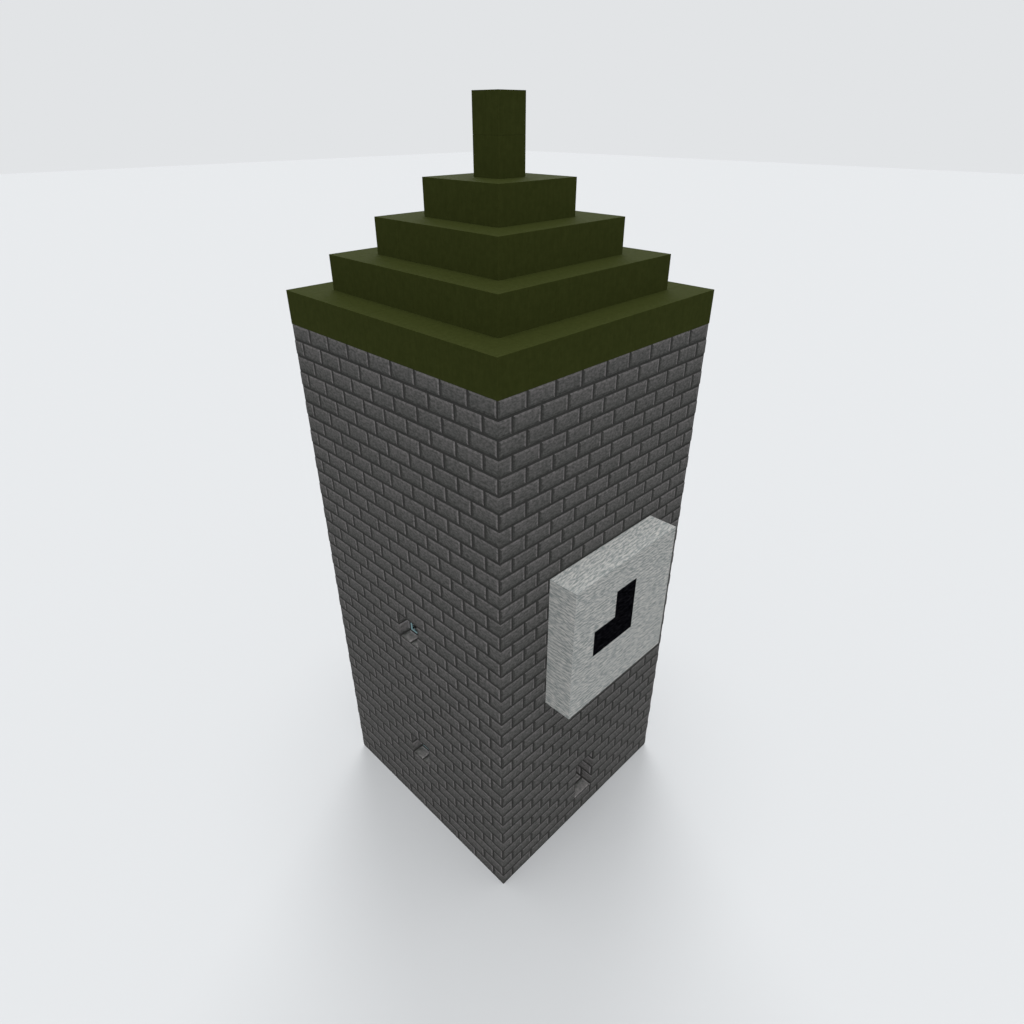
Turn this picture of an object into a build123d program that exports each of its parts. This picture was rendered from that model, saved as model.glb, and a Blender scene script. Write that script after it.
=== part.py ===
"""A square clock tower of coursed grey stone, with a stepped clay roof and one white dial.

Millimetres, +Z up. The origin is the centre of the footprint at ground level. The front wall,
with the dial and the doorway, looks along -Y, and the left wall looks along -X.
"""

import os

from build123d import *

os.makedirs("parts", exist_ok=True)

# Tower body: the walls are thinner above the lower storey, which leaves a ledge for the beams
tower_width = 9000
lower_wall_thickness = 1000
upper_wall_thickness = 750
plinth_height = 1000
wall_top = 19000

# Doorway, which has no leaf, in the middle of the front
door_width = 1000
door_height = 2000

# Storeys: each has its window row at the same height above its floor
storey_height = 6000
sill_above_floor = 2000
window_width = 1000
window_height = 1000

# Window frames of metal bar, set back from the outer face, with the glass in a groove
frame_setback = 500
frame_sight_width = 50
frame_depth = 50
glass_thickness = 24
groove_depth = 25
glass_edge_gap = 5

# Upper floor: boards on timber beams that lie on the ledges of the left and right walls
deck_thickness = 50
deck_edge_gap = 10
beam_width = 250
beam_depth = 450
beam_spacing = 1250
beam_end_gap = 10
beam_side_gap = 10

# Dial: a white stone with black stone hands let in flush, held by a tail in the front wall
dial_width = 5000
dial_projection = 1000
dial_centre_height = 10500
dial_tail_width = 3000
dial_tail_depth = 500
hand_width = 1000
minute_hand_length = 1000
hour_hand_length = 1000
hand_inlay_depth = 250

# Roof: steps that each stand in by the same amount and carry the next one
roof_step_inset = 1000
roof_step_height = 1000
roof_step_bearing_width = 1000
open_step_count = 2
closed_step_count = 2
spire_width = 1000
spire_height = 2000

# Worked out from the sizes above
door_top = plinth_height + door_height
storey_floors = {"lower": plinth_height, "upper": plinth_height + storey_height}
beam_top = storey_floors["upper"] - deck_thickness
ledge_height = beam_top - beam_depth
top_lift_height = ledge_height + storey_height
wall_lifts = {
    "lower": (plinth_height, ledge_height),
    "upper": (ledge_height, top_lift_height),
    "top": (top_lift_height, wall_top),
}
wall_thicknesses = {
    "lower": lower_wall_thickness,
    "upper": upper_wall_thickness,
    "top": upper_wall_thickness,
}
side_turns = {"front": 0, "right": 90, "back": 180, "left": 270}
glazed_sides = ["left", "right", "back"]


def elevation(side):
    """The outer face of one wall seen from outside, x to the right, with y = 0 at the ground."""
    turn = Location((0, 0, 0), (0, 0, side_turns[side]))
    return Plane(turn * Plane.XZ.offset(tower_width / 2).location)


def room_width(lift):
    """The clear width between the walls of one lift."""
    return tower_width - 2 * wall_thicknesses[lift]


def wall_length(side, lift):
    """The front and back are as wide as the tower, and the side walls stand between them."""
    return tower_width if side in ("front", "back") else room_width(lift)


def window_centre(storey):
    """The height of the middle of a storey's window."""
    return storey_floors[storey] + sill_above_floor + window_height / 2


def save(piece, name):
    """Name a finished piece and write its file."""
    piece.part.label = name
    export_step(piece.part, f"parts/{name}.step")


def make_plinth():
    """The solid base, whose top is the ground floor and the door's threshold."""
    with BuildPart() as plinth:
        with BuildSketch(Plane.XY):
            Rectangle(tower_width, tower_width)
        extrude(amount=plinth_height)
    return plinth


def make_door_pier(direction):
    """The wall on one side of the doorway, up to its head; direction is -1 left, 1 right."""
    pier_width = (tower_width - door_width) / 2
    pier_middle = direction * (door_width + pier_width) / 2
    with BuildPart() as pier:
        with BuildSketch(elevation("front")):
            with Locations((pier_middle, plinth_height + door_height / 2)):
                Rectangle(pier_width, door_height)
        extrude(amount=-lower_wall_thickness)
    return pier


def make_wall_over_door():
    """The front wall from the head of the doorway to the ledge."""
    with BuildPart() as wall:
        with BuildSketch(elevation("front")):
            with Locations((0, (door_top + ledge_height) / 2)):
                Rectangle(tower_width, ledge_height - door_top)
        extrude(amount=-lower_wall_thickness)
    return wall


def make_dial_wall(lift):
    """One lift of the front wall, less what the tail of the dial takes out of it."""
    bottom, top = wall_lifts[lift]
    with BuildPart() as wall:
        with BuildSketch(elevation("front")):
            with Locations((0, (bottom + top) / 2)):
                Rectangle(wall_length("front", lift), top - bottom)
        extrude(amount=-wall_thicknesses[lift])
        with BuildSketch(elevation("front")):
            with Locations((0, dial_centre_height)):
                Rectangle(dial_tail_width, dial_tail_width)
        extrude(amount=-dial_tail_depth, mode=Mode.SUBTRACT)
    return wall


def make_window_wall(side, storey):
    """The lift of a wall that belongs to a storey, with its window hole."""
    bottom, top = wall_lifts[storey]
    with BuildPart() as wall:
        with BuildSketch(elevation(side)):
            with Locations((0, (bottom + top) / 2)):
                Rectangle(wall_length(side, storey), top - bottom)
            with Locations((0, window_centre(storey))):
                Rectangle(window_width, window_height, mode=Mode.SUBTRACT)
        extrude(amount=-wall_thicknesses[storey])
    return wall


def make_blind_wall(side):
    """The top lift of a wall, which has no window."""
    bottom, top = wall_lifts["top"]
    with BuildPart() as wall:
        with BuildSketch(elevation(side)):
            with Locations((0, (bottom + top) / 2)):
                Rectangle(wall_length(side, "top"), top - bottom)
        extrude(amount=-wall_thicknesses["top"])
    return wall


def make_floor_beams():
    """The beams of the upper floor, as many as lie side by side on the two ledges."""
    row_width = room_width("upper") - 2 * beam_side_gap - beam_width
    beam_count = int(row_width // beam_spacing) + 1
    with BuildPart() as beams:
        with BuildSketch(Plane.YZ):
            with Locations((0, ledge_height + beam_depth / 2)):
                with GridLocations(beam_spacing, 0, beam_count, 1):
                    Rectangle(beam_width, beam_depth)
        extrude(amount=room_width("upper") / 2 - beam_end_gap, both=True)
    return beams


def make_floor_deck():
    """The boarding of the upper floor, on the beams and just clear of the walls."""
    deck_width = room_width("upper") - 2 * deck_edge_gap
    with BuildPart() as deck:
        with BuildSketch(Plane.XY.offset(beam_top)):
            Rectangle(deck_width, deck_width)
        extrude(amount=deck_thickness)
    return deck


def make_window_frame(side, storey):
    """A frame that fills its hole in the wall, with a groove for the glass."""
    middle = elevation(side).offset(-frame_setback)
    centre = (0, window_centre(storey))
    sight_width = window_width - 2 * frame_sight_width
    sight_height = window_height - 2 * frame_sight_width
    with BuildPart() as frame:
        with BuildSketch(middle):
            with Locations(centre):
                Rectangle(window_width, window_height)
                Rectangle(sight_width, sight_height, mode=Mode.SUBTRACT)
        extrude(amount=frame_depth / 2, both=True)
        with BuildSketch(middle):
            with Locations(centre):
                Rectangle(sight_width + 2 * groove_depth, sight_height + 2 * groove_depth)
        extrude(amount=glass_thickness / 2, both=True, mode=Mode.SUBTRACT)
    return frame


def make_window_glass(side, storey):
    """The sheet that lies between the two sides of its frame's groove."""
    glass_inset = frame_sight_width - groove_depth + glass_edge_gap
    with BuildPart() as glass:
        with BuildSketch(elevation(side).offset(-frame_setback)):
            with Locations((0, window_centre(storey))):
                Rectangle(window_width - 2 * glass_inset, window_height - 2 * glass_inset)
        extrude(amount=glass_thickness / 2, both=True)
    return glass


dial_face = elevation("front").offset(dial_projection)
hub_centre = (0, dial_centre_height)
minute_hand_centre = (0, dial_centre_height + (hand_width + minute_hand_length) / 2)
hour_hand_centre = (-(hand_width + hour_hand_length) / 2, dial_centre_height)


def make_inlay(centre, width, height):
    """One black stone of the hands, flush with the face of the dial."""
    with BuildPart() as inlay:
        with BuildSketch(dial_face):
            with Locations(centre):
                Rectangle(width, height)
        extrude(amount=-hand_inlay_depth)
    return inlay


def make_dial_stone():
    """The white dial with its tail, and the sunk bed that the hands lie in."""
    with BuildPart() as dial:
        with BuildSketch(elevation("front")):
            with Locations(hub_centre):
                Rectangle(dial_width, dial_width)
        extrude(amount=dial_projection)
        with BuildSketch(elevation("front")):
            with Locations(hub_centre):
                Rectangle(dial_tail_width, dial_tail_width)
        extrude(amount=-dial_tail_depth)
        with BuildSketch(dial_face):
            with Locations(hub_centre):
                Rectangle(hand_width, hand_width)
            with Locations(minute_hand_centre):
                Rectangle(hand_width, minute_hand_length)
            with Locations(hour_hand_centre):
                Rectangle(hour_hand_length, hand_width)
        extrude(amount=-hand_inlay_depth, mode=Mode.SUBTRACT)
    return dial


def roof_step_width(step):
    """The outer width of a roof step; step 0 is as wide as the tower."""
    return tower_width - 2 * step * roof_step_inset


def roof_step_plane(step):
    """The bed of a roof step."""
    return Plane.XY.offset(wall_top + step * roof_step_height)


def make_roof_kerb(step, side):
    """One of the four like kerbs of an open step.

    They lie round the opening like a pinwheel: each runs from its own corner to the inner edge
    of the kerb that follows, so that one end also rests on the course below and carries it.
    """
    kerb_width = roof_step_inset + roof_step_bearing_width
    outer = roof_step_width(step) / 2
    bed = roof_step_plane(step).location
    turn = Location((0, 0, 0), (0, 0, side_turns[side]))
    with BuildPart() as kerb:
        with BuildSketch(Plane(turn * bed)):
            with Locations((-outer, -outer)):
                Rectangle(2 * outer - kerb_width, kerb_width, align=(Align.MIN, Align.MIN))
        extrude(amount=roof_step_height)
    return kerb


def make_roof_slab(step):
    """A closed step, which covers the opening of the one below."""
    with BuildPart() as slab:
        with BuildSketch(roof_step_plane(step)):
            Rectangle(roof_step_width(step), roof_step_width(step))
        extrude(amount=roof_step_height)
    return slab


def make_spire():
    """The square block that stands on the top step."""
    with BuildPart() as spire:
        with BuildSketch(roof_step_plane(open_step_count + closed_step_count)):
            Rectangle(spire_width, spire_width)
        extrude(amount=spire_height)
    return spire


save(make_plinth(), "plinth")
save(make_door_pier(-1), "front_wall_left_of_door")
save(make_door_pier(1), "front_wall_right_of_door")
save(make_wall_over_door(), "front_wall_over_door")
save(make_dial_wall("upper"), "front_wall_upper")
save(make_dial_wall("top"), "front_wall_top")
save(make_floor_beams(), "upper_floor_beams")
save(make_floor_deck(), "upper_floor_deck")

for glazed_side in glazed_sides:
    save(make_blind_wall(glazed_side), f"{glazed_side}_wall_top")
    for storey_name in storey_floors:
        window_name = f"{glazed_side}_{storey_name}_window"
        save(make_window_wall(glazed_side, storey_name), f"{glazed_side}_wall_{storey_name}")
        save(make_window_frame(glazed_side, storey_name), f"{window_name}_frame")
        save(make_window_glass(glazed_side, storey_name), f"{window_name}_glass")

save(make_dial_stone(), "dial_stone")
save(make_inlay(hub_centre, hand_width, hand_width), "hand_hub")
save(make_inlay(minute_hand_centre, hand_width, minute_hand_length), "minute_hand")
save(make_inlay(hour_hand_centre, hour_hand_length, hand_width), "hour_hand")

for open_step in range(open_step_count):
    for kerb_side in side_turns:
        save(make_roof_kerb(open_step, kerb_side), f"roof_step_{open_step + 1}_{kerb_side}")
for closed_step in range(open_step_count, open_step_count + closed_step_count):
    save(make_roof_slab(closed_step), f"roof_step_{closed_step + 1}")
save(make_spire(), "spire")
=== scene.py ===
"""The looks of the stone clock tower, set over its construction model.

Metres, +Z up. The front, with the dial and the doorway, looks along -Y, and the left wall along -X.
"""

import itertools
import math
import random

import bmesh
import bpy
from mathutils import Matrix, Vector, noise


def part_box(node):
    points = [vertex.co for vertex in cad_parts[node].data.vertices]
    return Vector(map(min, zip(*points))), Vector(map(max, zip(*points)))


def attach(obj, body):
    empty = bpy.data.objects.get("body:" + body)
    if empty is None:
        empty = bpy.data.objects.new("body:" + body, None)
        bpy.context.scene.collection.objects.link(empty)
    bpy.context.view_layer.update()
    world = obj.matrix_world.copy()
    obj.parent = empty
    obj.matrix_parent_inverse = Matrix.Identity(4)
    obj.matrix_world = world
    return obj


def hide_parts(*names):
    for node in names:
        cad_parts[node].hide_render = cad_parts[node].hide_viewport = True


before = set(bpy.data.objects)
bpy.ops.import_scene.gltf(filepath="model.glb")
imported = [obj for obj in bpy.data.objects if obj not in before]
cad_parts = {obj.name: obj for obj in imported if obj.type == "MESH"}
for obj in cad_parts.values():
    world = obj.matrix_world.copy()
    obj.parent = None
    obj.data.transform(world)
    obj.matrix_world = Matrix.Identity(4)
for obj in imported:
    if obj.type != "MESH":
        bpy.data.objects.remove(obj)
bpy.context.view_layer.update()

UP = Vector((0, 0, 1))
SIDES = {"front": 0, "right": 90, "back": 180, "left": 270}
GLAZED_SIDES = ("left", "right", "back")
STOREYS = ("lower", "upper")

# Stonework, with a sunk joint under each stone and at its right end
course_height = 0.5
stone_pitch = 1.0
joint_width = 0.0625
joint_depth = 0.015
stone_depth = 0.04
quoin_return = stone_pitch / 2 - joint_width
margin_width = 0.0625
margin_fall = 0.009
worn_arris = 0.008
face_relief = 0.006
outline_wear = 0.009
wear_marks_per_metre = 7
least_stone = 0.08
flag_lift = 0.001
corner_lap = 0.001
random_start = 19
random_range = 99

# Grid of cuts on a stone's face, for its relief
face_cuts = 2

# Places of the three materials in a piece of stonework; the third is the stone painted lighter on
# upward faces, as painted top light
plain_stone = 0
mortar_fill = 1
top_lit_stone = 2

# Painted light and shade on each stone, as a share of the middle of its face: painted highlights on
# the top and end margins, painted shade on the start and bottom margins and on the beds, and a face
# painted lighter at its top than at its foot
top_margin_shade = 1.4
end_margin_shade = 1.65
start_margin_shade = 0.66
bottom_margin_shade = 0.74
face_top_shade = 1.2
face_bottom_shade = 0.88
bed_shade = 0.5
stone_variety = 0.05

# The stone faces of the jambs in a recess are painted lighter, as painted light against the
# recess's shade
recess_painted_light = 1.35

# Painted top light: the upward stones of the sills, thresholds and ground floor are painted lighter
# than the walls by this share
top_light_lift = 1.28

# The joint at the foot of a jamb is pointed nearly flush
pointing_sink = 0.006
pointing_inset = 0.012

# Roof blocks of fired clay: what is wider both ways than a kerb is a slab of blocks
clay_block_length = 1.0
widest_kerb = 2.5
clay_arris = 0.005
clay_joint = 0.002

# Dial and hands, with half the width of the dial's tail, which is let into the wall behind it
dial_tail_half = 1.5
dial_arris = 0.006
least_dial_edge = 0.5
hand_arris = 0.004

# Window frames
frame_arris = 0.004

# Floor boards, whose end joints lie at these shares of the floor's length by turns
board_width = 0.187
board_gap = 0.003
board_arris = 0.003
board_joint_shares = (0.6, 0.4)

# Limits within which places and faces count as the same, or a face as looking one way
same_place = 0.001
rounding = 1e-6
weld_distance = 1e-5
flat_angle = 0.01
squarely = 0.999


def paint(red, green, blue):
    """A colour as a painter's chart gives it, 0 to 255, made linear."""
    def linear(value):
        share = value / 255
        return share / 12.92 if share <= 0.04045 else ((share + 0.055) / 1.055) ** 2.4
    return (linear(red), linear(green), linear(blue), 1.0)


def new_material(name, roughness, specular=0.5):
    """An empty material with its shader, and the node tree to build on."""
    material = bpy.data.materials.new(name)
    material.use_nodes = True
    tree = material.node_tree
    shader = tree.nodes["Principled BSDF"]
    shader.inputs["Roughness"].default_value = roughness
    shader.inputs["Specular IOR Level"].default_value = specular
    return material, tree, shader


def node(tree, kind, **inputs):
    """A node with some of its sockets set, by name with underscores for spaces."""
    made = tree.nodes.new(kind)
    for socket, value in inputs.items():
        made.inputs[socket.replace("_", " ")].default_value = value
    return made


def stretched(tree, place, size, turn=(0, 0, 0)):
    """A place turned, and measured in the sizes of a pattern's marks, in metres."""
    mapping = node(tree, "ShaderNodeMapping", Rotation=turn, Scale=size)
    mapping.vector_type = "TEXTURE"
    tree.links.new(place, mapping.inputs["Vector"])
    return mapping.outputs["Vector"]


def object_place(tree, size=(1, 1, 1), turn=(0, 0, 0)):
    """The place on the tower, for a pattern."""
    place = tree.nodes.new("ShaderNodeTexCoord")
    return stretched(tree, place.outputs["Object"], size, turn)


def noise_pattern(tree, place, scale=1.0, detail=3.0, rough=0.55, twist=0.0):
    """Cloudy noise, from 0 to 1, with this many marks to the metre."""
    pattern = node(tree, "ShaderNodeTexNoise", Scale=scale, Detail=detail, Roughness=rough,
                   Distortion=twist)
    tree.links.new(place, pattern.inputs["Vector"])
    return pattern.outputs["Fac"]


def wavy_rows(tree, place, pitch):
    """Level rows that waver, from 0 to 1, at this pitch in metres."""
    pitch_at_scale_one = math.pi / 10
    pattern = node(tree, "ShaderNodeTexWave", Scale=pitch_at_scale_one / pitch, Distortion=5.0,
                   Detail=2.0, Detail_Scale=2.0)
    pattern.bands_direction = "Y"
    tree.links.new(place, pattern.inputs["Vector"])
    return pattern.outputs["Fac"]


def math_node(tree, operation, first, *others):
    """One sum on values, each a socket or a number, taken from left to right."""
    for other in others:
        made = tree.nodes.new("ShaderNodeMath")
        made.operation = operation
        for socket, value in zip(made.inputs, (first, other)):
            if isinstance(value, bpy.types.NodeSocket):
                tree.links.new(value, socket)
            else:
                socket.default_value = value
        first = made.outputs[0]
    return first


def spread(tree, value, low, high, first=0.0, last=1.0):
    """A value between first and last brought to the range from low to high."""
    ranged = node(tree, "ShaderNodeMapRange", From_Min=first, From_Max=last, To_Min=low,
                  To_Max=high)
    tree.links.new(value, ranged.inputs["Value"])
    return ranged.outputs["Result"]


def colour_ramp(tree, value, stops):
    """Colours along a value: stops are (place, colour)."""
    ramp = tree.nodes.new("ShaderNodeValToRGB")
    tree.links.new(value, ramp.inputs["Fac"])
    marks = ramp.color_ramp.elements
    while len(marks) < len(stops):
        marks.new(0.5)
    # The places come first, because the marks change their order as they move
    for mark, (place, colour) in zip(marks, stops):
        mark.position = place
    for mark, (place, colour) in zip(marks, stops):
        mark.color = colour
    return ramp.outputs["Color"]


def relief(tree, shader, *layers):
    """Bumps on the surface: layers are (height socket, distance in metres)."""
    normal = None
    for height, distance in layers:
        bump = node(tree, "ShaderNodeBump", Distance=distance, Strength=1.0)
        tree.links.new(height, bump.inputs["Height"])
        if normal is not None:
            tree.links.new(normal, bump.inputs["Normal"])
        normal = bump.outputs["Normal"]
    tree.links.new(normal, shader.inputs["Normal"])


def grey_stone(name, lift=1.0):
    """Dark grey ashlar: its painted light and shade, mottled by the hand's breadth, with a grain.

    Its colours are those of the walls, made lighter by the lift, which is painted top light.
    """
    def lifted(*colour):
        return paint(*(lift * value for value in colour))
    material, tree, shader = new_material(name, roughness=0.9, specular=0.05)
    # The shade attribute carries each stone's painted highlights and painted shade
    painted_light_and_shade = tree.nodes.new("ShaderNodeAttribute")
    painted_light_and_shade.attribute_name = "shade"
    mottling = noise_pattern(tree, object_place(tree, (0.11, 0.11, 0.065)), rough=0.6)
    grain = noise_pattern(tree, object_place(tree), scale=85.0, rough=0.65)
    middle_of_chart = 0.4
    shade = math_node(tree, "MULTIPLY", painted_light_and_shade.outputs["Fac"],
                      spread(tree, mottling, 0.58, 1.42, first=0.29, last=0.71),
                      spread(tree, grain, 0.86, 1.14), middle_of_chart)
    chart = colour_ramp(tree, shade, [
        (0.16, lifted(51, 50, 50)),
        (0.28, lifted(68, 69, 67)),
        (middle_of_chart, lifted(81, 81, 80)),
        (0.56, lifted(97, 95, 95)),
        (0.8, lifted(114, 112, 112)),
        (1.0, lifted(126, 123, 125)),
    ])
    tree.links.new(chart, shader.inputs["Base Color"])
    tree.links.new(spread(tree, grain, 0.82, 0.97), shader.inputs["Roughness"])
    strokes = object_place(tree, (0.05, 0.012, 0.05), turn=(0.5, 0.6, 0.4))
    tooling = noise_pattern(tree, strokes, detail=2.0)
    relief(tree, shader, (tooling, 0.005), (grain, 0.002))
    return material


def sandy_mortar():
    """The dark sandy mortar in the joints."""
    material, tree, shader = new_material("sandy_mortar", roughness=0.95, specular=0.05)
    place = object_place(tree)
    sand = noise_pattern(tree, place, scale=150.0, rough=0.7)
    damp = noise_pattern(tree, place, scale=2.5)
    middle_of_chart = 0.5
    shade = math_node(tree, "MULTIPLY", spread(tree, sand, 0.75, 1.25, first=0.3, last=0.7),
                      spread(tree, damp, 0.8, 1.2, first=0.3, last=0.7), middle_of_chart)
    chart = colour_ramp(tree, shade, [
        (0.2, paint(40, 40, 39)),
        (middle_of_chart, paint(55, 55, 54)),
        (0.8, paint(67, 66, 65)),
    ])
    tree.links.new(chart, shader.inputs["Base Color"])
    relief(tree, shader, (sand, 0.002))
    return material


def olive_clay():
    """Matte olive-green fired clay, with faint clouds and upright streaks."""
    material, tree, shader = new_material("olive_clay", roughness=0.85, specular=0.02)
    clouds = noise_pattern(tree, object_place(tree), scale=7.0, rough=0.6)
    streaks = noise_pattern(tree, object_place(tree, (0.07, 0.07, 0.5)))
    grain = noise_pattern(tree, object_place(tree), scale=70.0, rough=0.6)
    cloud_share = 0.6
    shade = math_node(tree, "ADD", math_node(tree, "MULTIPLY", clouds, cloud_share),
                      math_node(tree, "MULTIPLY", streaks, 1 - cloud_share))
    shade = math_node(tree, "MULTIPLY", shade, spread(tree, grain, 0.94, 1.06))
    chart = colour_ramp(tree, shade, [
        (0.3, paint(43, 48, 19)),
        (0.5, paint(47, 52, 22)),
        (0.7, paint(51, 56, 25)),
    ])
    tree.links.new(chart, shader.inputs["Base Color"])
    tree.links.new(spread(tree, grain, 0.76, 0.94), shader.inputs["Roughness"])
    relief(tree, shader, (clouds, 0.003), (grain, 0.0012))
    return material


def tooled_stone(name, stops, roughness, specular):
    """Stone tooled in rows of short wavy strokes, which fall a little to the right on each face."""
    material, tree, shader = new_material(name, roughness, specular)
    face_map = tree.nodes.new("ShaderNodeUVMap")
    face_map.uv_map = "face_metres"
    stroke_fall = -0.14
    along = stretched(tree, face_map.outputs["UV"], (0.22, 0.042, 1.0), (0, 0, stroke_fall))
    strokes = noise_pattern(tree, along, detail=2.0, rough=0.5, twist=0.25)
    level = stretched(tree, face_map.outputs["UV"], (0.7, 0.1, 1.0))
    beds = noise_pattern(tree, level, detail=1.0)
    rows = wavy_rows(tree, face_map.outputs["UV"], pitch=0.125)
    grain = noise_pattern(tree, object_place(tree), scale=80.0, rough=0.6)
    stroke_share = 0.65
    bed_share = 0.2
    shade = math_node(tree, "ADD", math_node(tree, "MULTIPLY", strokes, stroke_share),
                      math_node(tree, "MULTIPLY", beds, bed_share),
                      spread(tree, rows, 0.03, 0.12))
    shade = math_node(tree, "MULTIPLY", shade, spread(tree, grain, 0.94, 1.06))
    tree.links.new(colour_ramp(tree, shade, stops), shader.inputs["Base Color"])
    uneven = 0.08
    tree.links.new(spread(tree, grain, roughness - uneven, roughness + uneven),
                   shader.inputs["Roughness"])
    relief(tree, shader, (strokes, 0.008), (grain, 0.0012))
    return material


def frame_paint():
    """Pale blue-grey paint on the window frames, a little uneven."""
    material, tree, shader = new_material("frame_paint", roughness=0.45)
    clouds = noise_pattern(tree, object_place(tree), scale=14.0, detail=4.0, rough=0.6)
    brush = noise_pattern(tree, object_place(tree, (0.016, 0.016, 0.002)), detail=2.0)
    chart = colour_ramp(tree, clouds, [
        (0.3, paint(126, 168, 178)),
        (0.7, paint(158, 187, 191)),
    ])
    tree.links.new(chart, shader.inputs["Base Color"])
    tree.links.new(spread(tree, brush, 0.38, 0.55), shader.inputs["Roughness"])
    relief(tree, shader, (brush, 0.0004))
    return material


def window_glass():
    """Clear sheet glass with a faint blue tint and a little drawn waviness."""
    material, tree, shader = new_material("sheet_glass", roughness=0.04)
    shader.inputs["Base Color"].default_value = paint(206, 228, 230)
    shader.inputs["Transmission Weight"].default_value = 1.0
    shader.inputs["IOR"].default_value = 1.5
    shader.inputs["Alpha"].default_value = 0.4
    waves = noise_pattern(tree, object_place(tree, (1, 1, 0.3)), scale=1.5, detail=1.0)
    relief(tree, shader, (waves, 0.002))
    return material


def oak():
    """Sawn oak, with its grain along the length."""
    material, tree, shader = new_material("sawn_oak", roughness=0.7)
    rings = noise_pattern(tree, object_place(tree, (1.7, 0.11, 0.11)), scale=3.0, detail=4.0,
                          rough=0.6, twist=0.8)
    fibres = noise_pattern(tree, object_place(tree, (1, 0.025, 0.025)), scale=3.0, detail=2.0)
    chart = colour_ramp(tree, rings, [
        (0.3, paint(92, 65, 40)),
        (0.5, paint(120, 88, 56)),
        (0.75, paint(146, 112, 76)),
    ])
    tree.links.new(chart, shader.inputs["Base Color"])
    tree.links.new(spread(tree, fibres, 0.6, 0.8), shader.inputs["Roughness"])
    relief(tree, shader, (rings, 0.002), (fibres, 0.0008))
    return material


def finish_piece(bm, name, materials, slot, *replaced):
    """Turn a finished mesh into a piece of the tower that stands for its construction nodes."""
    mesh = bpy.data.meshes.new(name)
    bm.to_mesh(mesh)
    bm.free()
    for material in materials:
        mesh.materials.append(material)
    piece = bpy.data.objects.new(name, mesh)
    bpy.context.scene.collection.objects.link(piece)
    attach(piece, "root")
    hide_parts(*replaced)


def add_block(bm, low, high):
    """A plain box from corner to corner; returns its vertices."""
    low, high = Vector(low), Vector(high)
    matrix = Matrix.LocRotScale((low + high) / 2, None, high - low)
    return bmesh.ops.create_cube(bm, size=1.0, matrix=matrix)["verts"]


def bevel_edges(bm, edges, width, segments=1):
    """Round or chamfer some edges."""
    bmesh.ops.bevel(bm, geom=list(edges), offset=width, affect="EDGES", segments=segments,
                    profile=0.5, material=-1)


def edges_of(verts):
    """The edges that meet some vertices."""
    return {edge for vert in verts for edge in vert.link_edges}


def node_mesh(name):
    """A working copy of a construction node's mesh, with its flat faces made whole."""
    bm = bmesh.new()
    bm.from_mesh(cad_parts[name].data)
    bmesh.ops.remove_doubles(bm, verts=bm.verts[:], dist=weld_distance)
    bmesh.ops.dissolve_limit(bm, angle_limit=flat_angle, verts=bm.verts[:], edges=bm.edges[:])
    return bm


def wall_axes(corner, right, up):
    """The matrix from a wall face's own axes to the tower: u to the right, v up, w out of it."""
    matrix = Matrix((right, up, right.cross(up))).transposed().to_4x4()
    matrix.translation = corner
    return matrix


def slice_off(bm, point, normal):
    """Cut away what lies beyond a plane, and close the cut."""
    geometry = bm.verts[:] + bm.edges[:] + bm.faces[:]
    cut = bmesh.ops.bisect_plane(bm, geom=geometry, plane_co=point, plane_no=normal,
                                 clear_outer=True)["geom_cut"]
    edges = [part for part in cut if isinstance(part, bmesh.types.BMEdge)]
    if edges:
        bmesh.ops.contextual_create(bm, geom=edges)


def painted_margin_light_and_shade(normal, height, rise):
    """Painted light and shade at one rise on a stone of this height; the normal is in the face's
    own axes.
    """
    margin_slope = 0.1
    bed_slope = 0.5
    if normal.z < bed_slope:
        return bed_shade
    if normal.y > margin_slope:
        return top_margin_shade
    if normal.y < -margin_slope:
        return bottom_margin_shade
    if normal.x > margin_slope:
        return end_margin_shade
    if normal.x < -margin_slope:
        return start_margin_shade
    return face_bottom_shade + (face_top_shade - face_bottom_shade) * rise / height


stone_patterns = {}


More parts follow.
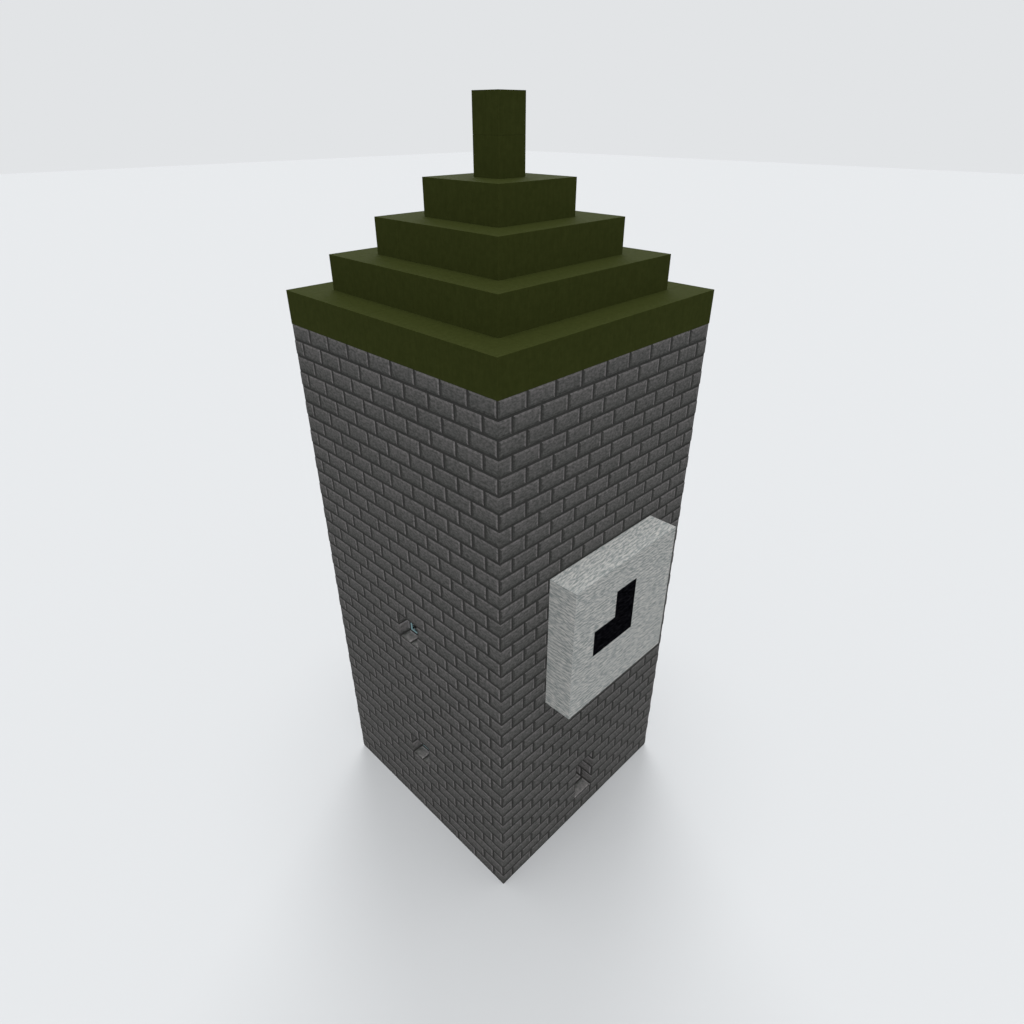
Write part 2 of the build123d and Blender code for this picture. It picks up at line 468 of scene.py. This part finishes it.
def stone_pattern(length, height, depth, returned, mirrored):
    """One dressed stone in its face's axes, kept for the next of its size.

    Its face lies on w = 0 and has sloped margins, with painted shade at its start and a painted
    highlight at its end. A returned stone is a quoin, dressed on its right end too. A mirrored
    one starts at its right.
    """
    key = (round(length, 4), round(height, 4), round(depth, 4), returned, mirrored)
    if key in stone_patterns:
        return stone_patterns[key]
    bm = bmesh.new()
    add_block(bm, (0, 0, -depth), (length, height, 0))
    slice_off(bm, (0, height - margin_width, 0), (0, margin_fall, margin_width))
    slice_off(bm, (0, margin_width, 0), (0, -margin_fall, margin_width))
    slice_off(bm, (margin_width, 0, 0), (-margin_fall, 0, margin_width))
    if returned:
        slice_off(bm, (length - worn_arris, 0, 0), (1, 0, 1))
        slice_off(bm, (length, height - margin_width, 0), (margin_width, margin_fall, 0))
        slice_off(bm, (length, margin_width, 0), (margin_width, -margin_fall, 0))
        slice_off(bm, (length, 0, margin_width - depth), (margin_width, 0, -margin_fall))
    else:
        slice_off(bm, (length - margin_width, 0, 0), (margin_fall, 0, margin_width))
    bmesh.ops.remove_doubles(bm, verts=bm.verts[:], dist=weld_distance)
    bmesh.ops.recalc_face_normals(bm, faces=bm.faces[:])
    dressed_sides = [Vector((0, 0, 1))] + ([Vector((1, 0, 0))] if returned else [])
    for outward in dressed_sides:
        for face in [face for face in bm.faces if face.normal.dot(outward) > squarely]:
            bmesh.ops.subdivide_edges(bm, edges=face.edges[:], cuts=face_cuts, use_grid_fill=True)
    bm.normal_update()
    # Painted light and shade: highlights on the top and end margins, shade on the start and bottom
    # margins and the beds, and a face darker towards its foot
    shade = bm.loops.layers.float.new("shade")
    return_slope = 0.6
    for face in bm.faces:
        normal = face.normal.copy()
        if returned and normal.x > return_slope:
            normal = Vector((-normal.z, normal.y, normal.x))
        face.smooth = normal.z > squarely
        for loop in face.loops:
            loop[shade] = painted_margin_light_and_shade(normal, height, loop.vert.co.y)
    if mirrored:
        bmesh.ops.scale(bm, vec=(-1, 1, 1), verts=bm.verts)
        bmesh.ops.translate(bm, vec=(length, 0, 0), verts=bm.verts)
        bmesh.ops.reverse_faces(bm, faces=bm.faces)
    mesh = bpy.data.meshes.new("stone_pattern")
    bm.to_mesh(mesh)
    bm.free()
    stone_patterns[key] = mesh
    return mesh


class Stonework:
    """The stones of all the walls, each laid in the mesh of the node that its middle lies in."""

    def __init__(self, nodes):
        self.boxes = {name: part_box(name) for name in nodes}
        self.meshes = {name: bmesh.new() for name in nodes}
        for bm in self.meshes.values():
            bm.loops.layers.float.new("shade")
        self.chance = random.Random(random_start)

    def owner(self, point):
        """The node whose box holds a point, or the nearest one."""
        def outside(name):
            low, high = self.boxes[name]
            return sum(max(low[i] - point[i], point[i] - high[i], 0) for i in range(3))
        return min(self.boxes, key=outside)

    def lay(self, axes, start, end, bottom, top, depth=stone_depth, returned=False,
            mirrored=False, material_index=plain_stone):
        """Lay one stone on a face, from start to end and from bottom to top."""
        if end - start < least_stone or top - bottom < least_stone:
            return
        length, height = end - start, top - bottom
        middle = axes @ Vector(((start + end) / 2, (bottom + top) / 2, -stone_depth / 2))
        bm = self.meshes[self.owner(middle)]
        first_vert, first_face = len(bm.verts), len(bm.faces)
        bm.from_mesh(stone_pattern(length, height, depth, returned, mirrored))
        bm.verts.ensure_lookup_table()
        bm.faces.ensure_lookup_table()
        tint = self.chance.uniform(1 - stone_variety, 1 + stone_variety)
        seed = Vector((self.chance.uniform(0, random_range),
                       self.chance.uniform(0, random_range), 0))
        place = axes @ Matrix.Translation((start, bottom, 0))
        for vert in bm.verts[first_vert:]:
            worn = 0.5 + 0.5 * noise.noise(vert.co * wear_marks_per_metre + seed)
            on_face = vert.co.z > -same_place
            if on_face:
                vert.co.z -= face_relief * worn
            if returned and vert.co.x > length - same_place:
                vert.co.x -= face_relief * worn
            if not on_face:
                self.wear_outline(vert.co, length, height, returned, outline_wear * worn)
            vert.co = place @ vert.co
        shade = bm.loops.layers.float["shade"]
        for face in bm.faces[first_face:]:
            face.material_index = material_index
            for loop in face.loops:
                loop[shade] *= tint

    def wear_outline(self, co, length, height, returned, worn):
        """Draw a corner of a stone's outline in, but not at the return of a quoin."""
        co.x += worn if co.x < same_place else 0
        co.x -= worn if co.x > length - same_place and not returned else 0
        co.y += worn if co.y < same_place else 0
        co.y -= worn if co.y > height - same_place else 0

    def lay_run(self, axes, start, end, course, left, right):
        """Lay one course between two edges, each an outside "corner" or an "inside" one.

        At an outside corner the even courses turn with a quoin, which the run on its left lays.
        In the odd courses the run on the left stops at a joint and the one on the right starts
        at the corner.
        """
        even = course % 2 == 0
        bottom = course * course_height + joint_width
        top = (course + 1) * course_height
        stone_start = start - stone_pitch / 2 if even else start
        while stone_start < end - rounding:
            first, last = stone_start, stone_start + stone_pitch - joint_width
            turns_left = first < start + rounding and left == "corner"
            reaches_end = last > end - joint_width - rounding
            first = max(first, start)
            last = min(last, end)
            stone_start += stone_pitch
            if even and turns_left:
                continue
            if turns_left:
                first += joint_depth - corner_lap
            if even and reaches_end and right == "corner":
                self.lay(axes, first, end, bottom, top, quoin_return, returned=True)
            elif right == "corner":
                self.lay(axes, first, min(last, end - joint_width), bottom, top)
            else:
                self.lay(axes, first, last, bottom, top)

    def lay_face(self, axes, width, bottom, top, ends, openings=()):
        """Lay all the courses of a face; openings are (start, end, bottom, top, edge kind)."""
        for course in range(round(bottom / course_height), round(top / course_height)):
            middle = (course + 0.5) * course_height
            edge, kind = 0.0, ends
            for start, end, low, high, opening_kind in openings:
                if low < middle < high:
                    self.lay_run(axes, edge, start, course, kind, opening_kind)
                    edge, kind = end, opening_kind
            self.lay_run(axes, edge, width, course, kind, ends)

    def point_foot(self, axes, depth, bottom):
        """Fill the joint at the foot of a jamb with mortar."""
        middle = axes @ Vector((depth / 2, bottom + joint_width / 2, -stone_depth / 2))
        bm = self.meshes[self.owner(middle)]
        verts = add_block(bm, (pointing_inset, bottom, -stone_depth),
                          (depth - pointing_inset, bottom + joint_width, -pointing_sink))
        for face in {face for vert in verts for face in vert.link_faces}:
            face.material_index = mortar_fill
        bmesh.ops.transform(bm, matrix=axes, verts=verts)

    def paint_recess_light(self, first, last):
        """Paint the stone faces that lie between two corners of a recess lighter, as painted light
        against its shade.
        """
        low = [min(first[i], last[i]) for i in range(3)]
        high = [max(first[i], last[i]) for i in range(3)]
        for bm in self.meshes.values():
            shade = bm.loops.layers.float["shade"]
            for face in bm.faces:
                middle = face.calc_center_median()
                if all(low[i] < middle[i] < high[i] for i in range(3)):
                    for loop in face.loops:
                        loop[shade] *= recess_painted_light

    def lay_level(self, low, high, height, upward):
        """Lay flags, or the stones of a sill or a head, on a level face between two corners.

        Their courses run along X and climb towards -Y, in one bond over the whole tower. The
        last stones reach the edge, with no joint there.
        """
        def reach(end, edge):
            return edge if end > edge - joint_width - rounding else end
        corner_x, right = (high.x, -1) if upward else (low.x, 1)
        axes = wall_axes(Vector((corner_x, high.y, height)), Vector((right, 0, 0)),
                         Vector((0, -1, 0)))
        for row in range(math.floor(low.y / course_height), math.ceil(high.y / course_height)):
            near = max(row * course_height, low.y)
            far = reach((row + 1) * course_height - joint_width, high.y)
            shift = stone_pitch / 2 if row % 2 else 0.0
            place = math.floor(low.x - shift) + shift
            while place < high.x:
                first, last = max(place, low.x), reach(place + stone_pitch - joint_width, high.x)
                place += stone_pitch
                # Upward stones take the stone painted lighter, as painted top light
                if upward:
                    self.lay(axes, high.x - last, high.x - first, high.y - far, high.y - near,
                             mirrored=True, material_index=top_lit_stone)
                else:
                    self.lay(axes, first - low.x, last - low.x, high.y - far, high.y - near)


def box_centre(name):
    """The middle of a node's box."""
    low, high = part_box(name)
    return (low + high) / 2


def turned(side, point):
    """A point of the front brought round to another side."""
    return Matrix.Rotation(math.radians(SIDES[side]), 3, "Z") @ Vector(point)


# The walls' places, from the construction model
tower_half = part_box("plinth")[1].x
floor_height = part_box("plinth")[1].z
wall_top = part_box("front_wall_top")[1].z
ledge_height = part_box("front_wall_over_door")[1].z
door_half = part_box("front_wall_right_of_door")[0].x
door_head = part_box("front_wall_over_door")[0].z
room_half = {
    "lower": -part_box("front_wall_over_door")[1].y,
    "upper": -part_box("front_wall_top")[1].y,
}
window_low = {storey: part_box(f"left_{storey}_window_frame")[0].z for storey in STOREYS}
window_high = {storey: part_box(f"left_{storey}_window_frame")[1].z for storey in STOREYS}
window_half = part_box("left_lower_window_frame")[1].y
masonry_nodes = [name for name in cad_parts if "_wall_" in name] + ["plinth"]


def side_openings(side):
    """The openings of a wall, as (half width, bottom, top, wall storey)."""
    if side == "front":
        return [(door_half, floor_height, door_head, "lower")]
    return [(window_half, window_low[storey], window_high[storey], storey) for storey in STOREYS]


def lay_opening(work, side, half_width, bottom, top, storey):
    """The two jambs, the sill or threshold, and the head of one opening."""
    depth = tower_half - room_half[storey]
    inward = turned(side, (0, 1, 0))
    outer_left = turned(side, (-half_width, -tower_half, 0))
    inner_right = turned(side, (half_width, -room_half[storey], 0))
    for corner, along in ((outer_left, inward), (inner_right, -inward)):
        axes = wall_axes(corner, along, UP)
        work.lay_face(axes, depth, bottom, top, "corner")
        work.point_foot(axes, depth, bottom)
    # Painted light: the jambs' faces in the recess are made lighter
    work.paint_recess_light(turned(side, (-half_width - joint_depth, margin_fall - tower_half, bottom)),
                 turned(side, (half_width + joint_depth, -margin_fall - room_half[storey], top)))
    corners = [turned(side, (-half_width, margin_fall - tower_half, 0)),
               turned(side, (half_width, -margin_fall - room_half[storey], 0))]
    low = Vector(min(corner[i] for corner in corners) for i in range(3))
    high = Vector(max(corner[i] for corner in corners) for i in range(3))
    work.lay_level(low, high, bottom + flag_lift, True)
    work.lay_level(low, high, top - flag_lift, False)


def lay_walls():
    """All the stones of the plinth, the walls and the ground floor."""
    work = Stonework(masonry_nodes)
    for side in SIDES:
        right = turned(side, (1, 0, 0))
        outside = [
            (tower_half - half, tower_half + half, low, high, "corner")
            for half, low, high, storey in side_openings(side)
        ]
        if side == "front":
            centre = box_centre("dial_stone").z
            outside.append((tower_half - dial_tail_half, tower_half + dial_tail_half,
                            centre - dial_tail_half, centre + dial_tail_half, "inside"))
        axes = wall_axes(turned(side, (-tower_half, -tower_half, 0)), right, UP)
        work.lay_face(axes, 2 * tower_half, 0, wall_top, "corner", outside)
        for storey, bottom, top in (("lower", floor_height, ledge_height),
                                    ("upper", ledge_height, wall_top)):
            reach = room_half[storey]
            inside = [
                (reach - half, reach + half, low, high, "corner")
                for half, low, high, of_storey in side_openings(side) if of_storey == storey
            ]
            axes = wall_axes(turned(side, (reach, -reach, 0)), -right, UP)
            work.lay_face(axes, 2 * reach, bottom, top, "inside", inside)
        for opening in side_openings(side):
            lay_opening(work, side, *opening)
    corner = Vector((room_half["lower"], room_half["lower"], 0))
    work.lay_level(-corner, corner, floor_height, True)
    return work


def core_heights(name):
    """How far each level edge of a node's mortar core is moved, so that the stones stand proud."""
    moves = {floor_height: -joint_depth}
    if name.startswith("front_wall"):
        moves[door_head] = joint_depth
    else:
        for storey in STOREYS:
            moves[window_low[storey]] = -joint_depth
            moves[window_high[storey]] = joint_depth
    return moves


def add_mortar_core(bm, name):
    """The node's own solid, drawn back behind the faces of its stones."""
    core = node_mesh(name)
    sideways = {tower_half: -joint_depth, room_half["lower"]: joint_depth,
                room_half["upper"]: joint_depth, window_half: joint_depth}
    for vert in core.verts:
        for axis in (0, 1):
            for place, shift in sideways.items():
                if abs(abs(vert.co[axis]) - place) < same_place:
                    vert.co[axis] += math.copysign(1, vert.co[axis]) * shift
                    break
        for height, shift in core_heights(name).items():
            if abs(vert.co.z - height) < same_place:
                vert.co.z += shift
                break
    for face in core.faces:
        face.material_index = mortar_fill
        face.smooth = False
    mesh = bpy.data.meshes.new("core")
    core.to_mesh(mesh)
    core.free()
    bm.from_mesh(mesh)


def build_stonework():
    """One piece of stones and mortar for each masonry node."""
    stone, mortar = grey_stone("grey_stone"), sandy_mortar()
    # The stone of the upward faces, painted lighter as painted top light
    worn = grey_stone("top_lit_grey_stone", top_light_lift)
    work = lay_walls()
    for name, bm in work.meshes.items():
        add_mortar_core(bm, name)
        finish_piece(bm, f"{name}_stonework", [stone, mortar, worn], "wall_stone", name)


def build_clay(name, clay):
    """A kerb, slab or spire of clay blocks, laid side by side with fine joints."""
    low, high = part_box(name)
    size = high - low
    bm = bmesh.new()
    long_axis = 0 if size.x >= size.y else 1
    counts = [1, 1, 1]
    counts[long_axis] = max(1, round(size[long_axis] / clay_block_length))
    if size.x > widest_kerb and size.y > widest_kerb:
        counts = [round(size.x / clay_block_length), round(size.y / clay_block_length), 1]
    if size.z > 1.5 * clay_block_length:
        counts[2] = round(size.z / clay_block_length)
    for place in itertools.product(*(range(count) for count in counts)):
        start, end = low.copy(), low.copy()
        for axis, (index, count) in enumerate(zip(place, counts)):
            step = size[axis] / count
            start[axis] += index * step + (clay_joint / 2 if index > 0 else 0)
            end[axis] += (index + 1) * step - (clay_joint / 2 if index < count - 1 else 0)
        verts = add_block(bm, start, end)
        bevel_edges(bm, edges_of(verts), clay_arris, segments=2)
    finish_piece(bm, f"{name}_clay", [clay], "roof_clay", name)


def map_faces(bm):
    """A map in metres on each face: along it to the right, and up it."""
    layer = bm.loops.layers.uv.new("face_metres")
    level_slope = 0.7
    for face in bm.faces:
        if abs(face.normal.z) > level_slope:
            right, up = Vector((1, 0, 0)), Vector((0, -1, 0))
        else:
            right, up = UP.cross(face.normal).normalized(), UP
        for loop in face.loops:
            loop[layer].uv = (loop.vert.co.dot(right), loop.vert.co.dot(up))


def build_dial(white):
    """The white dial stone with its tail, its hand bed and worn arrises."""
    bm = node_mesh("dial_stone")
    middle = box_centre("dial_stone")
    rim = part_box("dial_stone")[1].x - same_place

    def on_rim(vert):
        return max(abs(vert.co.x), abs(vert.co.z - middle.z)) > rim

    def at_wall(vert):
        return vert.co.y > -tower_half - same_place

    outer = [
        edge for edge in bm.edges
        if all(on_rim(vert) for vert in edge.verts)
        and not all(at_wall(vert) for vert in edge.verts)
        and edge.calc_length() > least_dial_edge
    ]
    bevel_edges(bm, outer, dial_arris, segments=3)
    bm.normal_update()
    map_faces(bm)
    finish_piece(bm, "dial_stone_tooled", [white], "dial_white", "dial_stone")


def build_hand(name, black):
    """One black stone of the hands, with fine arrises."""
    bm = bmesh.new()
    low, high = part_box(name)
    verts = add_block(bm, low, high)
    bevel_edges(bm, edges_of(verts), hand_arris, segments=2)
    bm.normal_update()
    map_faces(bm)
    finish_piece(bm, f"{name}_tooled", [black], "hand_black", name)


def build_frame(name, paintwork):
    """A window frame of four mitred bars, with its arrises eased."""
    bm = node_mesh(name)
    arrises = [edge for edge in bm.edges if edge.is_manifold and edge.is_convex]
    bevel_edges(bm, arrises, frame_arris, segments=2)
    finish_piece(bm, f"{name}_painted", [paintwork], "window_metal", name)


def build_deck(wood):
    """The upper floor's boards, in two lengths that break joint from board to board."""
    low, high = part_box("upper_floor_deck")
    bm = bmesh.new()
    count = round((high.y - low.y) / board_width)
    pitch = (high.y - low.y) / count
    for i in range(count):
        near = low.y + i * pitch
        joint = low.x + (high.x - low.x) * board_joint_shares[i % 2]
        for start, end in ((low.x, joint - board_gap / 2), (joint + board_gap / 2, high.x)):
            verts = add_block(bm, (start, near + board_gap / 2, low.z),
                              (end, near + pitch - board_gap / 2, high.z))
            bevel_edges(bm, edges_of(verts), board_arris)
    finish_piece(bm, "upper_floor_boards", [wood], "floor_timber", "upper_floor_deck")


def dress_node(name, material):
    """Give a construction node, kept as it is, its material."""
    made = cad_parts[name]
    made.data.materials.clear()
    made.data.materials.append(material)


def build_tower():
    """All the pieces of the tower."""
    build_stonework()
    clay = olive_clay()
    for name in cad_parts:
        if name.startswith("roof_step") or name == "spire":
            build_clay(name, clay)
    white = tooled_stone("white_tooled_stone", [
        (0.4, paint(130, 136, 135)),
        (0.5, paint(157, 160, 159)),
        (0.6, paint(187, 186, 183)),
    ], roughness=0.8, specular=0.2)
    build_dial(white)
    black = tooled_stone("black_tooled_stone", [
        (0.4, paint(2, 2, 4)),
        (0.5, paint(8, 8, 11)),
        (0.6, paint(23, 23, 26)),
    ], roughness=0.7, specular=0.0)
    for name in ("hand_hub", "minute_hand", "hour_hand"):
        build_hand(name, black)
    paintwork, glass, wood = frame_paint(), window_glass(), oak()
    for side in GLAZED_SIDES:
        for storey in STOREYS:
            build_frame(f"{side}_{storey}_window_frame", paintwork)
            dress_node(f"{side}_{storey}_window_glass", glass)
    build_deck(wood)
    dress_node("upper_floor_beams", wood)


# Stage, light and camera

camera_place = (-14.125, -14.492, 24.490)
camera_turn = 0.781346082
camera_dip = -0.542591159
camera_focal_pixels = 661.484
photo_width = 1024
sensor_width = 36.0
sight_limit = 1000
floor_reach = 400
sky_level = 0.32
lamps = {
    "lamp_by_camera": ((-0.563, -0.594, 0.574), 0.7, 25),
    "lamp_overhead": ((0, 0, 1), 0.56, 40),
    "lamp_behind": ((0.606, 0.606, 0.515), 0.5, 40),
}


def set_camera():
    """The camera where the photograph was taken from."""
    lens = bpy.data.cameras.new("camera")
    lens.sensor_width = sensor_width
    lens.lens = camera_focal_pixels * sensor_width / photo_width
    lens.clip_end = sight_limit
    camera = bpy.data.objects.new("camera", lens)
    camera.location = camera_place
    camera.rotation_euler = (math.pi / 2 + camera_dip, 0, camera_turn - math.pi / 2)
    bpy.context.scene.collection.objects.link(camera)
    bpy.context.scene.camera = camera


def seen_rays(tree):
    """1 for the rays that show the studio itself, to the camera or in metal and glass."""
    rays = tree.nodes.new("ShaderNodeLightPath")
    return math_node(tree, "MAXIMUM", rays.outputs["Is Camera Ray"], rays.outputs["Is Glossy Ray"],
                     rays.outputs["Is Transmission Ray"])


def set_floor():
    """A wide pale floor, which throws little of the light back up."""
    bm = bmesh.new()
    bmesh.ops.create_grid(bm, x_segments=1, y_segments=1, size=floor_reach)
    mesh = bpy.data.meshes.new("studio_floor")
    bm.to_mesh(mesh)
    bm.free()
    material, tree, shader = new_material("pale_floor", roughness=0.9, specular=0.0)
    colour = colour_ramp(tree, seen_rays(tree), [(0.0, paint(130, 131, 132)),
                                                 (1.0, paint(192, 194, 196))])
    tree.links.new(colour, shader.inputs["Base Color"])
    mesh.materials.append(material)
    floor = bpy.data.objects.new("studio_floor", mesh)
    bpy.context.scene.collection.objects.link(floor)


def add_lamp(name, place, level, softness):
    """A wide soft lamp that shines from a far place; at level 1 it renders a colour as written."""
    lamp = bpy.data.lights.new(name, "SUN")
    lamp.energy = level * math.pi
    lamp.angle = math.radians(softness)
    stand = bpy.data.objects.new(name, lamp)
    stand.rotation_euler = Vector(place).to_track_quat("Z", "Y").to_euler()
    bpy.context.scene.collection.objects.link(stand)


def set_light():
    """Soft light from all round, and lamps by the camera, overhead and behind."""
    world = bpy.data.worlds.new("studio")
    world.use_nodes = True
    bpy.context.scene.world = world
    tree = world.node_tree
    background = tree.nodes["Background"]
    background.inputs["Color"].default_value = (1, 1, 1, 1)
    background.inputs["Strength"].default_value = sky_level
    seen = node(tree, "ShaderNodeBackground", Color=paint(226, 228, 230), Strength=1.0)
    mix = tree.nodes.new("ShaderNodeMixShader")
    tree.links.new(seen_rays(tree), mix.inputs["Fac"])
    tree.links.new(background.outputs["Background"], mix.inputs[1])
    tree.links.new(seen.outputs["Background"], mix.inputs[2])
    tree.links.new(mix.outputs["Shader"], tree.nodes["World Output"].inputs["Surface"])
    for name, (place, level, softness) in lamps.items():
        add_lamp(name, place, level, softness)


build_tower()
set_camera()
set_floor()
set_light()
bpy.context.scene.view_settings.view_transform = "Standard"
